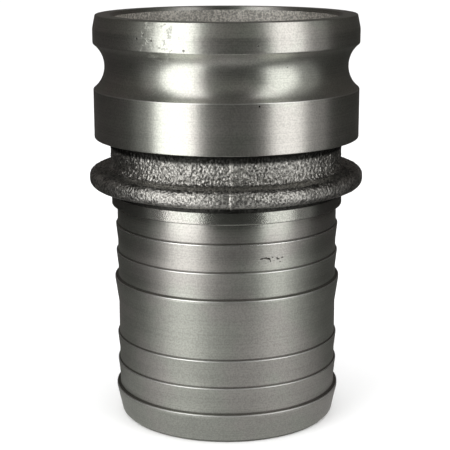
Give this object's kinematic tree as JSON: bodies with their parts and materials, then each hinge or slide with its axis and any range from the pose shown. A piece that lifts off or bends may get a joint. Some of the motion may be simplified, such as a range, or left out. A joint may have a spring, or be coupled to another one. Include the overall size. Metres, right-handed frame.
{
  "type": "camlock hose adapter",
  "caption": "Male cam-and-groove adapter: turned head with a cam groove, cast neck with a clamp collar, and a long barbed hose shank.",
  "frame": {"origin": "centre of the hose end's face", "axes": "+Z along the waterway, from the hose end up to the sealing face of the cam-groove head; the mould's parting line lies at +Y and -Y"},
  "size_m": [0.1248, 0.1254, 0.184],
  "materials": {
    "turned_steel": "satin turned stainless steel with fine rings round the axis",
    "cast_steel": "grainy as-cast stainless steel skin, blasted"
  },
  "bodies": {
    "root": {"cam_groove_head": "turned_steel", "cast_neck_and_collar": "cast_steel", "hose_shank": "turned_steel"}
  },
  "joints": []
}
